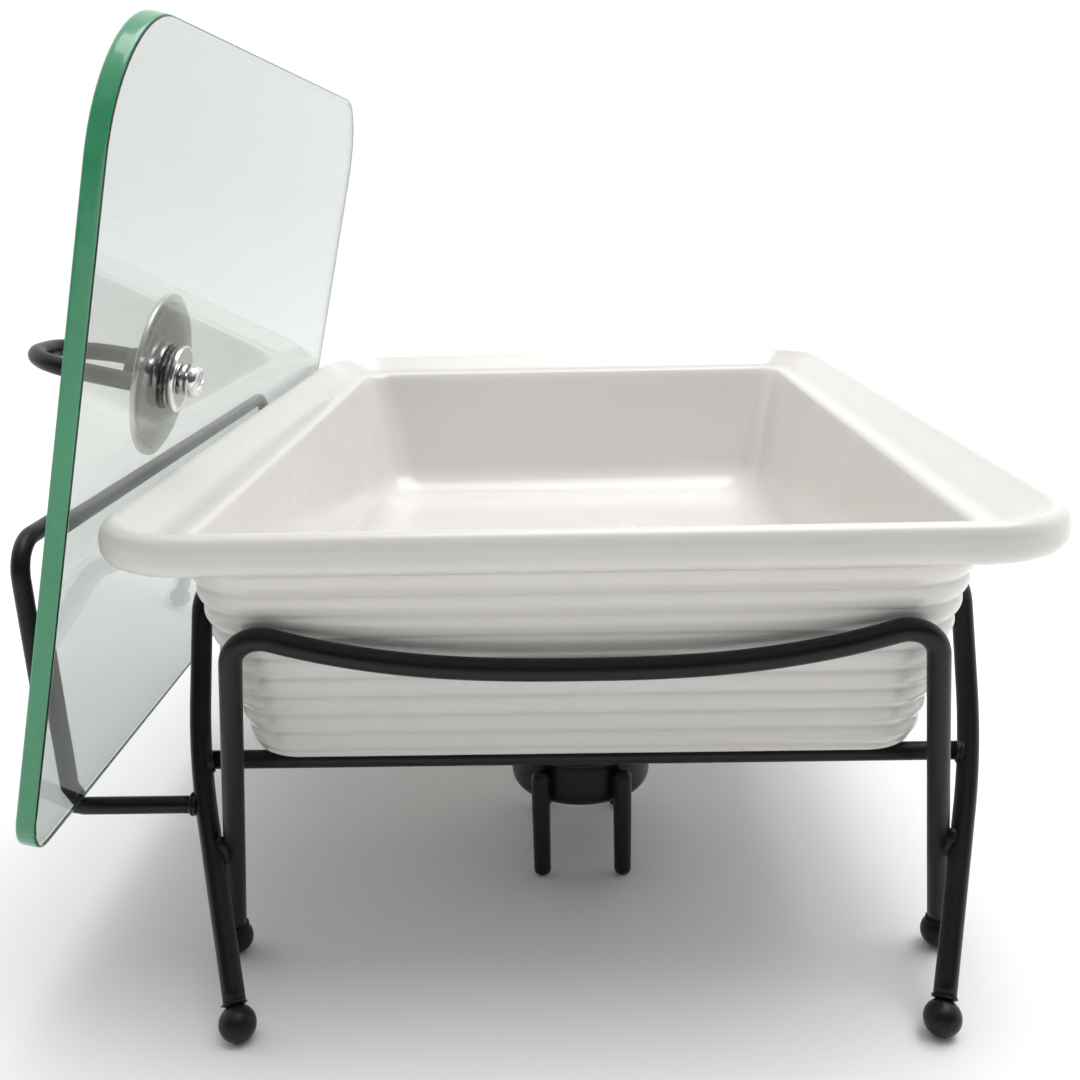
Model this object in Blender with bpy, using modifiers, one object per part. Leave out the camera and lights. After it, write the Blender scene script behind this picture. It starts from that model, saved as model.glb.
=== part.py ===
"""Chafing dish food warmer: ceramic dish on a wire stand, glass lid in its rack, two burners.

Units are metres, +Z is up, +Y runs along the dish, and the table is z = 0.
"""

import bpy
import numpy as np
from math import asin, cos, pi, radians, sin
from mathutils import Vector

# Overall placement: the model is laid out about the dish, then moved to centre its box.
CENTRE_SHIFT = 0.01625
GAP = 0.0003

# Dish
DISH_WIDTH, DISH_LENGTH = 0.240, 0.338
RIM_TOP, DISH_BOTTOM, FLOOR = 0.138, 0.062, 0.0775
UNDERSIDE = 0.0700
WALL_TOP_X, WALL_TOP_Y = 0.1010, 0.1560
BASE_X, BASE_Y = 0.0935, 0.1290
RIB_COUNT, RIB_DEPTH = 9, 0.0011
STEP_X, STEP_Y, LEDGE = 0.1060, 0.1550, 0.1315
LEDGE_X, LEDGE_Y = 0.0990, 0.1490
FLOOR_X, FLOOR_Y = 0.0870, 0.1200

# Stand
WIRE = 0.006
THIN_WIRE = 0.005
BAR = 0.0054
BALL = 0.010
END_FOOT = (0.1025, 0.1270)
END_TOP = (0.0874, 0.1545, 0.1105)
END_SAG = 0.0135
SIDE_FOOT = (0.0920, 0.1660)
SIDE_KNEE = (0.1095, 0.1220, 0.0590)
SIDE_TOP = (0.1120, 0.0960, 0.1010)
SIDE_SAG = 0.009
BAR_Y, BAR_END = 0.1215, 0.1048
RACK_Y, RACK_Z = 0.1292, 0.0490
RACK_START, RACK_OUT, RACK_TOP = 0.1102, 0.1482, (0.1500, 0.1260)

# Lid, leaning in its rack
LID_LEAN = radians(13.2)
LID_WIDTH, LID_LENGTH, GLASS = 0.208, 0.306, 0.005
LID_CORNER, LID_FOOT_CORNER = 0.034, 0.012
LID_FOOT = (-0.1428, -0.0130, 0.0525)
HANDLE_U, HANDLE_V = 0.1165, -0.084
SCREW_HOLE = 0.0034
DISC_RADIUS, DISC_THICK = 0.0230, 0.0015
LOOP_WIDTH, LOOP_REACH = 0.034, 0.0335

# Burners
BURNER_Y = 0.064
CUP_RADIUS, CUP_BOTTOM, CUP_TOP = 0.0230, 0.0230, 0.0400
LEG_X, LEG_TOP = 0.0130, 0.0362
LIGHT_RADIUS = 0.0190


def material(name, colour, roughness, metallic=0.0):
    made = bpy.data.materials.new(name)
    made.use_nodes = True
    shader = made.node_tree.nodes["Principled BSDF"]
    shader.inputs["Base Color"].default_value = (*colour, 1.0)
    shader.inputs["Roughness"].default_value = roughness
    shader.inputs["Metallic"].default_value = metallic
    return made


def finish(obj, look, parent, angle=35):
    """Give a new object its material, its parent and its shading, and file it with the parts."""
    for other in list(obj.users_collection):
        other.objects.unlink(obj)
    PARTS.objects.link(obj)
    obj.parent = parent
    obj.data.materials.clear()
    obj.data.materials.append(look)
    if obj.type == "MESH":
        obj.data.shade_smooth()
        obj.data.set_sharp_from_angle(angle=radians(angle))
    return obj


def empty(name, location, turn=0.0):
    guide = bpy.data.objects.new(name, None)
    guide.location = location
    guide.rotation_euler = (0.0, turn, 0.0)
    PARTS.objects.link(guide)
    return guide


def rounded(points, radii, steps=6):
    """The same path with an arc of the given radius at each inner corner (0 keeps the corner)."""
    path = [Vector(points[0])]
    for before, corner, after, radius in zip(points, points[1:], points[2:], radii):
        before, corner, after = Vector(before), Vector(corner), Vector(after)
        if radius == 0:
            path.append(corner)
            continue
        one, two = (before - corner).normalized(), (after - corner).normalized()
        half = one.angle(two) / 2
        middle = corner + (one + two).normalized() * radius / sin(half)
        reach = radius * cos(half) / sin(half)
        start, end = corner + one * reach - middle, corner + two * reach - middle
        for step in range(steps + 1):
            path.append(middle + start.slerp(end, step / steps).normalized() * radius)
    return path + [Vector(points[-1])]


def wire(name, path, diameter, look, parent):
    curve = bpy.data.curves.new(name, "CURVE")
    curve.dimensions = "3D"
    curve.bevel_depth = diameter / 2
    curve.bevel_resolution = 2
    curve.use_fill_caps = True
    spline = curve.splines.new("POLY")
    spline.points.add(len(path) - 1)
    for point, place in zip(spline.points, path):
        point.co = (*place, 1.0)
    return finish(bpy.data.objects.new(name, curve), look, parent)


def turned(name, profile, look, parent, location=(0, 0, 0), steps=24, closed=False):
    """A profile of (radius, height) turned about Z. It runs down the outer side."""
    mesh = bpy.data.meshes.new(name)
    count = len(profile)
    edges = [(i, i + 1) for i in range(count - 1)] + ([(count - 1, 0)] if closed else [])
    mesh.from_pydata([(r, 0, z) for r, z in profile], edges, [])
    obj = finish(bpy.data.objects.new(name, mesh), look, parent)
    obj.location = location
    screw = obj.modifiers.new("turn", "SCREW")
    screw.steps = screw.render_steps = steps
    screw.use_merge_vertices = True
    screw.merge_threshold = 0.00001
    return obj


def rounded_rectangle(half_x, half_y, radius, height, steps=6):
    corners = [(1, 1, 0), (-1, 1, 1), (-1, -1, 2), (1, -1, 3)]
    return [
        (
            sx * (half_x - radius) + radius * cos(pi / 2 * (turn + step / steps)),
            sy * (half_y - radius) + radius * sin(pi / 2 * (turn + step / steps)),
            height,
        )
        for sx, sy, turn in corners
        for step in range(steps + 1)
    ]


def dish_rings():
    """(height, half width, half length, corner radius) from the outer floor to the inner floor."""
    rings = [
        (UNDERSIDE, BASE_X - 0.0190, BASE_Y - 0.0180, 0.008),
        (DISH_BOTTOM, BASE_X - 0.0165, BASE_Y - 0.0155, 0.008),
        (DISH_BOTTOM, BASE_X - 0.0040, BASE_Y - 0.0030, 0.012),
    ]
    low, high = DISH_BOTTOM + 0.0030, 0.1250
    steps = RIB_COUNT * 4
    for step in range(steps + 1):
        part = step / steps
        bulge = RIB_DEPTH * abs(sin(pi * part * RIB_COUNT))
        rings.append(
            (
                low + (high - low) * part,
                BASE_X + (WALL_TOP_X - BASE_X) * part + bulge,
                BASE_Y + (WALL_TOP_Y - BASE_Y) * part + bulge,
                0.013 + 0.008 * part + bulge,
            )
        )
    outer_x, outer_y = DISH_WIDTH / 2, DISH_LENGTH / 2
    for inset, height in (
        (0.0120, 0.1262), (0.0040, 0.1268), (0.0012, 0.1280), (0.0, 0.1305),
        (0.0, 0.1340), (0.0010, 0.1366), (0.0028, RIM_TOP), (0.0045, RIM_TOP - 0.0002),
    ):
        rings.append((height, outer_x - inset, outer_y - inset, 0.026 - inset))
    rings += [
        (RIM_TOP - 0.0014, outer_x - 0.0058, outer_y - 0.0058, 0.021),
        (LEDGE, STEP_X, STEP_Y, 0.015),
        (LEDGE, LEDGE_X + 0.0008, LEDGE_Y + 0.0008, 0.0125),
        (LEDGE - 0.0012, LEDGE_X, LEDGE_Y, 0.012),
        (FLOOR + 0.0060, FLOOR_X + 0.0015, FLOOR_Y + 0.0035, 0.013),
        (FLOOR + 0.0015, FLOOR_X - 0.0012, FLOOR_Y - 0.0012, 0.012),
        (FLOOR, FLOOR_X - 0.0070, FLOOR_Y - 0.0070, 0.008),
    ]
    return rings


def make_dish(look, parent):
    """Each section is a rounded rectangle of its own size, lofted to the next."""
    rings = [rounded_rectangle(x, y, r, z) for z, x, y, r in dish_rings()]
    count = len(rings[0])
    faces = [tuple(range(count))[::-1]]
    for ring in range(len(rings) - 1):
        for point in range(count):
            a, b = ring * count + point, ring * count + (point + 1) % count
            faces.append((a, b, b + count, a + count))
    faces.append(tuple(range((len(rings) - 1) * count, len(rings) * count)))
    mesh = bpy.data.meshes.new("dish")
    mesh.from_pydata([point for ring in rings for point in ring], [], faces)
    return finish(bpy.data.objects.new("dish", mesh), look, parent, angle=50)


def ball_foot(name, x, y, look, parent):
    radius, flat = BALL / 2, 0.0012
    low = -asin(cos(asin(flat / radius)))
    arc = [pi / 2 + (low - pi / 2) * step / 8 for step in range(9)]
    profile = [(radius * max(cos(a), 0.0), radius * sin(a)) for a in arc]
    profile[0] = (0.0, radius)
    profile.append((0.0, profile[-1][1]))
    return turned(name, profile, look, parent, (x, y, -profile[-1][1]), steps=16)


def leg_end(foot, towards):
    """Where a leg stops, just clear of the ball that its line runs into."""
    ball = Vector((foot[0], foot[1], BALL / 2))
    return ball + (Vector(towards) - ball).normalized() * (BALL / 2 + GAP)


def make_stand(look, parent):
    for place, side in (("front", -1), ("back", 1)):
        x, y, z = END_TOP
        y *= side
        foot = (END_FOOT[0], END_FOOT[1] * side)
        lean = (END_FOOT[1] - END_TOP[1]) * side / (z - BALL / 2)
        sag = [
            (x * t, y + lean * END_SAG * (1 - abs(t) ** 2.6), z - END_SAG * (1 - abs(t) ** 2.6))
            for t in (i / 8 for i in range(-7, 8))
        ]
        left = leg_end((-foot[0], foot[1]), (-x, y, z))
        right = leg_end(foot, (x, y, z))
        points = [left, (-x, y, z), *sag, (x, y, z), right]
        radii = [0.0085, *[0] * len(sag), 0.0085]
        wire(f"end_wire_{place}", rounded(points, radii), WIRE, look, parent)
        half = BAR_END
        wire(f"base_bar_{place}",
             [(-half, BAR_Y * side, DISH_BOTTOM - GAP - BAR / 2),
              (half, BAR_Y * side, DISH_BOTTOM - GAP - BAR / 2)], BAR, look, parent)
    for place, side in (("left", -1), ("right", 1)):
        knee = (SIDE_KNEE[0] * side, -SIDE_KNEE[1], SIDE_KNEE[2])
        top = (SIDE_TOP[0] * side, -SIDE_TOP[1], SIDE_TOP[2])
        start = leg_end((SIDE_FOOT[0] * side, -SIDE_FOOT[1]), knee)
        sag = [
            (top[0], top[1] * -t, top[2] - SIDE_SAG * (1 - abs(t) ** 2.6))
            for t in (i / 8 for i in range(-7, 8))
        ]
        mirrored = [(p[0], -p[1], p[2]) for p in (top, knee, start)]
        points = [start, knee, top, *sag, *mirrored]
        radii = [0.150, 0.010, *[0] * len(sag), 0.010, 0.150]
        wire(f"side_wire_{place}", rounded(points, radii), WIRE, look, parent)
    for name, foot in (("end", END_FOOT), ("side", SIDE_FOOT)):
        for place, sx, sy in (("fl", -1, -1), ("fr", 1, -1), ("bl", -1, 1), ("br", 1, 1)):
            ball_foot(f"{name}_foot_{place}", foot[0] * sx, foot[1] * sy, look, parent)


def make_rack(look, parent):
    low, high = -RACK_OUT, -RACK_TOP[0]
    points = [
        (-RACK_START, -RACK_Y, RACK_Z), (low, -RACK_Y, RACK_Z), (high, -RACK_Y, RACK_TOP[1]),
        (high, RACK_Y, RACK_TOP[1]), (low, RACK_Y, RACK_Z), (-RACK_START, RACK_Y, RACK_Z),
    ]
    path = rounded(points, [0.004, 0.010, 0.010, 0.004])
    wire("lid_rack", path, THIN_WIRE, look, parent)


def make_lid(glass, coated, steel, chrome, rubber, parent):
    """Local +X runs up the lid, +Y along it, and +Z out of its handle side."""
    outline = bpy.data.curves.new("lid_glass", "CURVE")
    outline.dimensions = "2D"
    outline.fill_mode = "BOTH"
    outline.extrude = GLASS / 2
    upper, lower = [
        rounded_rectangle(LID_WIDTH / 2, LID_LENGTH / 2, radius, 0, steps=10)
        for radius in (LID_CORNER, LID_FOOT_CORNER)
    ]
    edge = upper[:11] + lower[11:33] + upper[33:]
    edge = [(x + LID_WIDTH / 2, y) for x, y, _ in edge]
    hole = [
        (HANDLE_U + SCREW_HOLE * cos(2 * pi * i / 20), HANDLE_V + SCREW_HOLE * sin(2 * pi * i / 20))
        for i in range(20)
    ]
    for loop in (edge, hole):
        spline = outline.splines.new("POLY")
        spline.points.add(len(loop) - 1)
        spline.use_cyclic_u = True
        for point, (x, y) in zip(spline.points, loop):
            point.co = (x, y, 0.0, 1.0)
    finish(bpy.data.objects.new("lid_glass", outline), glass, parent)

    face = GLASS / 2 + GAP
    at = (HANDLE_U, HANDLE_V, 0.0)

    def ring(name, inner, outer, low, high, look):
        profile = [(inner, high), (outer, high), (outer, low), (inner, low)]
        return turned(name, profile, look, parent, at, steps=32, closed=True)

    ring("outer_gasket", 0.0034, 0.0210, face, face + 0.0007, rubber)
    disc_low = face + 0.0007 + GAP
    disc_high = disc_low + DISC_THICK
    ring("handle_disc", 0.0029, DISC_RADIUS, disc_low, disc_high, steel)
    boss_low = disc_high + GAP
    bore_end, boss_high = boss_low + 0.0058, boss_low + 0.0080
    turned("handle_boss",
           [(0.0, boss_high), (0.0052, boss_high), (0.0060, boss_high - 0.0008),
            (0.0060, boss_low), (0.0029, boss_low), (0.0029, bore_end), (0.0, bore_end)],
           coated, parent, at)
    reach, half = LOOP_REACH, LOOP_WIDTH / 2
    points = [(0, -half, boss_low), (0, -half, reach), (0, half, reach), (0, half, boss_low)]
    loop = wire("handle_loop", rounded(points, [0.0145, 0.0145], steps=8), THIN_WIRE, coated, parent)
    loop.location = at

    inner_face = -GLASS / 2 - GAP
    ring("inner_gasket", 0.0034, 0.0088, inner_face - 0.0008, inner_face, rubber)
    washer_top = inner_face - 0.0008 - GAP
    ring("lid_washer", 0.0029, 0.0095, washer_top - 0.0014, washer_top, chrome)
    spring_top = washer_top - 0.0014 - GAP
    ring("spring_washer", 0.0029, 0.0048, spring_top - 0.0015, spring_top, steel)
    head_top = spring_top - 0.0015 - GAP
    tip = boss_low + 0.0050
    turned("lid_screw",
           [(0.0, tip), (0.0019, tip), (0.0025, tip - 0.0006), (0.0025, head_top),
            (0.0046, head_top), (0.0046, head_top - 0.0012), (0.0036, head_top - 0.0024),
            (0.0019, head_top - 0.0030), (0.0, head_top - 0.0031)],
           steel, parent, at)


def make_burner(place, coated, tin, wax, cotton, parent):
    wall, top = 0.0012, CUP_TOP
    turned(f"burner_cup_{place}",
           [(0.0, CUP_BOTTOM + wall), (0.0208, CUP_BOTTOM + wall), (CUP_RADIUS - wall, 0.0262),
            (CUP_RADIUS - wall, top - 0.0004), (CUP_RADIUS - 0.0004, top),
            (CUP_RADIUS + 0.0008, top), (CUP_RADIUS + 0.0016, top - 0.0009),
            (CUP_RADIUS + 0.0016, top - 0.0025), (CUP_RADIUS, top - 0.0032),
            (CUP_RADIUS, 0.0262), (CUP_RADIUS - 0.0010, 0.0240), (0.0208, CUP_BOTTOM),
            (0.0, CUP_BOTTOM)],
           coated, parent, steps=32)
    for number, (sx, sy) in enumerate(((-1, -1), (1, -1), (-1, 1), (1, 1)), 1):
        wall_y = (CUP_RADIUS ** 2 - LEG_X ** 2) ** 0.5
        beside = sy * (wall_y + 0.0040)
        points = [(sx * LEG_X, beside, LEG_TOP), (sx * LEG_X, beside, 0.0)]
        wire(f"burner_leg_{place}_{number}", points, WIRE, coated, parent)
    low = CUP_BOTTOM + wall + GAP
    r = LIGHT_RADIUS
    turned(f"tealight_tin_{place}",
           [(0.0, low + 0.0005), (r - 0.0005, low + 0.0005), (r - 0.0005, low + 0.0135),
            (r, low + 0.0135), (r, low), (0.0, low)], tin, parent, steps=32)
    wax_low = low + 0.0005 + GAP
    turned(f"tealight_wax_{place}",
           [(0.0006 + GAP, wax_low + 0.0098), (0.0030, wax_low + 0.0102),
            (r - 0.0020, wax_low + 0.0108), (r - 0.0010, wax_low + 0.0114),
            (r - 0.0009, wax_low), (0.0006 + GAP, wax_low)], wax, parent, steps=32, closed=True)
    wick = [(0, 0, wax_low), (0, 0, wax_low + 0.0100), (0.0008, 0, wax_low + 0.0135),
            (0.0026, 0, wax_low + 0.0160)]
    wire(f"tealight_wick_{place}", rounded(wick, [0, 0.004]), 0.0012, cotton, parent)


for leftover in list(bpy.data.objects):
    bpy.data.objects.remove(leftover, do_unlink=True)
PARTS = bpy.data.collections.new("chafing_dish_food_warmer")
bpy.context.scene.collection.children.link(PARTS)

coated_steel = material("black_coated_wire", (0.012, 0.012, 0.014), 0.42)
porcelain = material("white_glazed_ceramic", (0.82, 0.81, 0.79), 0.12)
lid_glass = material("green_edged_glass", (0.75, 0.86, 0.80), 0.03)
brushed = material("brushed_stainless", (0.58, 0.57, 0.55), 0.30, 1.0)
chromed = material("chrome_plate", (0.80, 0.80, 0.80), 0.08, 1.0)
clear_rubber = material("gasket_rubber", (0.30, 0.31, 0.30), 0.55)
tin_plate = material("tealight_aluminium", (0.75, 0.75, 0.76), 0.25, 1.0)
white_wax = material("paraffin_wax", (0.85, 0.83, 0.77), 0.45)
wick_cotton = material("wick_cotton", (0.55, 0.50, 0.42), 0.90)

layout = empty("stand_centre", (CENTRE_SHIFT, 0.0, 0.0))
make_stand(coated_steel, layout)
make_rack(coated_steel, layout)
make_dish(porcelain, layout)
lid_place = empty("lid_lower_edge", LID_FOOT, -(pi / 2 - LID_LEAN))
lid_place.parent = layout
make_lid(lid_glass, coated_steel, brushed, chromed, clear_rubber, lid_place)
for burner_place, way in (("front", -1), ("back", 1)):
    centre = empty(f"burner_{burner_place}_centre", (0.0, BURNER_Y * way, 0.0))
    centre.parent = layout
    make_burner(burner_place, coated_steel, tin_plate, white_wax, wick_cotton, centre)
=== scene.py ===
"""Chafing dish food warmer: ceramic dish, wire stand, leaning glass lid and two tealight burners.

Metres, +Z up, +Y along the dish. Lengths are laid out about the dish's middle, which stands SHIFT
to the right of the whole object's middle, because the lid and its rack reach out to the left.
"""

from math import cos, pi, radians, sin

import bpy
import numpy as np
from mathutils import Matrix, Vector


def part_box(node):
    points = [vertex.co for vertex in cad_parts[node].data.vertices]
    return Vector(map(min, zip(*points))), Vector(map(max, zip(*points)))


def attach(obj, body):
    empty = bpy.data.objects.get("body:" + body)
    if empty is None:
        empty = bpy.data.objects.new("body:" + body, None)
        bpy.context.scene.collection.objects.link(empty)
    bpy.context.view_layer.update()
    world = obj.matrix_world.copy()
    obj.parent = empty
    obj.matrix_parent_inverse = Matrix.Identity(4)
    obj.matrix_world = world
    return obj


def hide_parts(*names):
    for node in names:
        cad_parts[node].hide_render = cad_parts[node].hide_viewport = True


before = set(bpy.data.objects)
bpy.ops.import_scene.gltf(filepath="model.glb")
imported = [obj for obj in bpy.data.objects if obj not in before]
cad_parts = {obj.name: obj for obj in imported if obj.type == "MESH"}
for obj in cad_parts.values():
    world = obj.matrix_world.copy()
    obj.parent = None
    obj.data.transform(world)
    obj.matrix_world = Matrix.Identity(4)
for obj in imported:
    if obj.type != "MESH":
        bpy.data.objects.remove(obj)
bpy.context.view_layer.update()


# ---- Camera, floor and light ---------------------------------------------------------------
# The warmer stands on a plain pale floor. Soft lamps hang above it, behind and in front, a
# weaker one stands at the left, and the room is brighter behind the object than before it.

SHIFT = sum(corner.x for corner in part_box("dish")) / 2
CAMERA_PLACE = Vector((-0.0037 + SHIFT, -0.4320, 0.2106))
CAMERA_DOWN, CAMERA_LEFT, CAMERA_ROLL = radians(15.79), radians(1.28), radians(-1.31)
CAMERA_LENS = 39.8
ROOM_BEFORE, ROOM_BEHIND = 0.13, 1.02
WHITE = (1.0, 1.0, 1.0, 1.0)
AIM = (0.0, 0.0, 0.08)
FLOOR_HALF, FLOOR_GAP = 40.0, 0.0002
FLOOR_DULL, FLOOR_PALE = (0.92, 0.92, 0.92), (0.94, 0.94, 0.94)


class Reading:
    """One output socket of a finish. Arithmetic on it adds Math nodes, from either side."""

    def __init__(self, finish, socket):
        self.finish, self.socket = finish, socket

    def maths(self, operation, first, second):
        return self.finish.node("ShaderNodeMath", {"operation": operation}, {0: first, 1: second})

    def __add__(self, other):
        return self.maths("ADD", self, other)

    def __sub__(self, other):
        return self.maths("SUBTRACT", self, other)

    def __rsub__(self, other):
        return self.maths("SUBTRACT", other, self)

    def __mul__(self, other):
        return self.maths("MULTIPLY", self, other)

    __radd__, __rmul__ = __add__, __mul__


class Finish:
    """A node material for one real surface finish, with the record's slot that it fills."""

    def __init__(self, name, slot="", tree=None, **sockets):
        if tree is None:
            self.material = bpy.data.materials.new(name)
            self.material.use_nodes = True
            self.material["slot"] = slot
            tree = self.material.node_tree
        self.tree = tree
        self.shader = tree.nodes.get("Principled BSDF")
        for socket, value in sockets.items():
            self.shader.inputs[socket.replace("_", " ")].default_value = value

    def node(self, kind, settings=None, inputs=None, output=0):
        """A node of this kind: its settings first, then the values or links of its sockets."""
        made = self.tree.nodes.new(kind)
        for key, value in (settings or {}).items():
            setattr(made, key, value)
        for key, value in (inputs or {}).items():
            if isinstance(value, Reading):
                self.tree.links.new(value.socket, made.inputs[key])
            else:
                made.inputs[key].default_value = value
        return Reading(self, made.outputs[output])

    def place(self, scale=(1.0, 1.0, 1.0)):
        """Object coordinates through a Mapping node."""
        here = self.node("ShaderNodeTexCoord", output=3)
        return self.node("ShaderNodeMapping", {}, {"Vector": here, "Scale": scale})

    def surface_uv(self, scale):
        """The piece's own UV through a Mapping node: around the piece, and along it in metres."""
        uv = self.node("ShaderNodeTexCoord", output=2)
        return self.node("ShaderNodeMapping", {}, {"Vector": uv, "Scale": scale})

    def noise(self, vector, scale, detail=3.0, roughness=0.5):
        """Cloudy noise, so many cells to the metre."""
        return self.node("ShaderNodeTexNoise", {}, {
            "Vector": vector, "Scale": scale, "Detail": detail, "Roughness": roughness})

    def span(self, value, low, high, to_low=0.0, to_high=1.0):
        """A reading stretched from one range on to another, and held at its ends."""
        return self.node("ShaderNodeMapRange", {"clamp": True}, {
            "Value": value, "From Min": low, "From Max": high, "To Min": to_low, "To Max": to_high})

    def blend(self, factor, first, second):
        """One colour into another."""
        made = self.node("ShaderNodeMix", {"data_type": "RGBA"}, {0: factor}, output=2)
        for socket, value in ((6, first), (7, second)):
            if isinstance(value, Reading):
                self.tree.links.new(value.socket, made.socket.node.inputs[socket])
            else:
                made.socket.node.inputs[socket].default_value = (*value, 1.0)
        return made

    def drive(self, **sockets):
        """Readings linked to the finish's own sockets."""
        for socket, value in sockets.items():
            self.tree.links.new(value.socket, self.shader.inputs[socket.replace("_", " ")])
        return self

    def bump(self, height, distance, strength):
        """Relief of the given depth in metres."""
        normal = self.node("ShaderNodeBump", {}, {
            "Height": height, "Distance": distance, "Strength": strength})
        return self.drive(Normal=normal)


scene = bpy.context.scene
scene.view_settings.view_transform = "Standard"
turn = (Matrix.Rotation(CAMERA_LEFT, 4, "Z") @ Matrix.Rotation(pi / 2 - CAMERA_DOWN, 4, "X")
        @ Matrix.Rotation(CAMERA_ROLL, 4, "Z"))
camera = bpy.data.objects.new("camera", bpy.data.cameras.new("camera"))
camera.data.lens = CAMERA_LENS
camera.data.clip_start = 0.01
camera.matrix_world = Matrix.Translation(CAMERA_PLACE) @ turn
scene.collection.objects.link(camera)
scene.camera = camera

room = bpy.data.worlds.new("room")
room.use_nodes = True
scene.world = room
air = Finish("room", tree=room.node_tree)
direction = air.node("ShaderNodeTexCoord", output=0)
depth = air.node("ShaderNodeSeparateXYZ", {}, {0: direction}, output=1)
level = air.span(depth, -0.45, 0.15, ROOM_BEFORE, ROOM_BEHIND)
backdrop = room.node_tree.nodes["Background"]
backdrop.inputs["Color"].default_value = WHITE
room.node_tree.links.new(level.socket, backdrop.inputs["Strength"])


def lamp(name, power, size, at, aim=AIM):
    """A square soft lamp at a point, facing another."""
    data = bpy.data.lights.new(name, "AREA")
    data.energy, data.size = power, size
    made = bpy.data.objects.new(name, data)
    made.location = at
    made.rotation_euler = (Vector(aim) - Vector(at)).to_track_quat("-Z", "Y").to_euler()
    scene.collection.objects.link(made)


lamp("lamp_above", 2.0, 0.7, (0.35, 0.30, 1.20))
lamp("lamp_front", 3.2, 1.4, (0.05, -0.42, 1.40), (0.0, 0.06, 0.08))
lamp("lamp_left", 0.8, 0.8, (-1.00, 0.10, 0.80))
sky = bpy.data.lights.new("wide_lamp", "SUN")
sky.energy, sky.angle = 1.50, radians(45)
sky_lamp = bpy.data.objects.new("wide_lamp", sky)
sky_lamp.rotation_euler = (radians(-5), radians(13), 0.0)
scene.collection.objects.link(sky_lamp)

floor_finish = Finish("pale_floor", Roughness=0.65)
grain = floor_finish.noise(floor_finish.place(), 3.0, detail=2.0)
floor_finish.drive(Base_Color=floor_finish.blend(grain, FLOOR_DULL, FLOOR_PALE))
floor_mesh = bpy.data.meshes.new("floor")
floor_mesh.from_pydata([(x * FLOOR_HALF, y * FLOOR_HALF, 0.0)
                        for x, y in ((-1, -1), (1, -1), (1, 1), (-1, 1))], [], [(0, 1, 2, 3)])
floor_mesh.materials.append(floor_finish.material)
floor = bpy.data.objects.new("floor", floor_mesh)
floor.location.z = -FLOOR_GAP
scene.collection.objects.link(floor)


# ---- Stand wires ---------------------------------------------------------------------------
# Two end wires and two long-side wires, each one piece of 6 mm steel rod bent cold to shape,
# joined by two cross bars under the dish and coated with black satin powder after welding.

# A foot is given as half its width and length apart, and a top or a knee also by its height.
WIRE, BAR, THIN_WIRE, BALL = 0.006, 0.0054, 0.005, 0.010
END_FOOT = (0.1025, 0.1270)
END_TOP = (0.0874, 0.1545, 0.1105)
END_SAG, SIDE_SAG, SAG_POWER, RAIL_SHARE = 0.0135, 0.009, 2.6, 0.875
SIDE_FOOT = (0.0920, 0.1660)
SIDE_KNEE = (0.1095, 0.1220, 0.0590)
SIDE_TOP = (0.1120, 0.0960, 0.1010)
END_BEND, KNEE_BEND, RAIL_BEND = 0.0085, 0.150, 0.010
DISH_BOTTOM, BAR_Y, BAR_END, BAR_GAP = 0.062, 0.1215, 0.1048, 0.0003
BAR_AXIS = DISH_BOTTOM - BAR_GAP - BAR / 2
WELDED_IN = 0.0012
RING_GAP, BAR_RING_GAP = 0.004, 0.008
COAT_BLACK, COAT_GREY = (0.004, 0.004, 0.005), (0.008, 0.008, 0.0095)
COAT_SPECK = (0.10, 0.10, 0.10)


def coat_finish():
    """Satin powder coat: black, a fine orange-peel skin, and slightly uneven gloss."""
    look = Finish("black_powder_coat", "coated_wire", IOR=1.5, Specular_IOR_Level=0.28)
    skin_noise = look.noise(look.place(), 1400.0, detail=2.0)
    cloud = look.noise(look.place(), 45.0, detail=4.0)
    speck = look.span(look.noise(look.place(), 5200.0, detail=1.0), 0.70, 0.78)
    base = look.blend(cloud, COAT_BLACK, COAT_GREY)
    look.drive(Base_Color=look.blend(speck * 0.35, base, COAT_SPECK),
               Roughness=look.span(cloud, 0.3, 0.7, 0.30, 0.44))
    return look.bump(skin_noise, 0.00006, 0.55).material


def bent(points, radii, steps=14):
    """A polyline with a circular arc of the given radius at each inner corner.

    The arc's centre is on the corner's bisector at radius / sin(half the angle); its points turn
    from one tangent point to the other in equal angles.
    """
    points = np.array(points, float)
    path = [points[:1]]
    for before, corner, after, radius in zip(points, points[1:], points[2:], radii):
        if radius == 0:
            path.append(corner[None])
            continue
        one, two = before - corner, after - corner
        one, two = one / np.linalg.norm(one), two / np.linalg.norm(two)
        half = np.arccos(np.clip(one @ two, -1, 1)) / 2
        middle = corner + (one + two) / np.linalg.norm(one + two) * radius / sin(half)
        start = corner + one * radius / np.tan(half) - middle
        across = corner + two * radius / np.tan(half) - middle
        whole = pi - 2 * half
        part = np.linspace(0, whole, steps + 1)[:, None]
        path.append(middle + (np.sin(whole - part) * start + np.sin(part) * across) / sin(whole))
    return np.concatenate([*path, points[-1:]])


def evenly(path, gap):
    """The same polyline with extra points, so that no two are further apart than about gap."""
    lengths = np.concatenate([[0], np.cumsum(np.linalg.norm(np.diff(path, axis=0), axis=1))])
    extra = np.linspace(0, lengths[-1], max(int(lengths[-1] / gap), 2))
    where = np.unique(np.round(np.concatenate([lengths, extra]), 6))
    where = where[np.concatenate([[True], np.diff(where) > gap / 8])]
    where[-1] = lengths[-1]
    return np.stack([np.interp(where, lengths, path[:, axis]) for axis in range(3)], axis=1)


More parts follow.
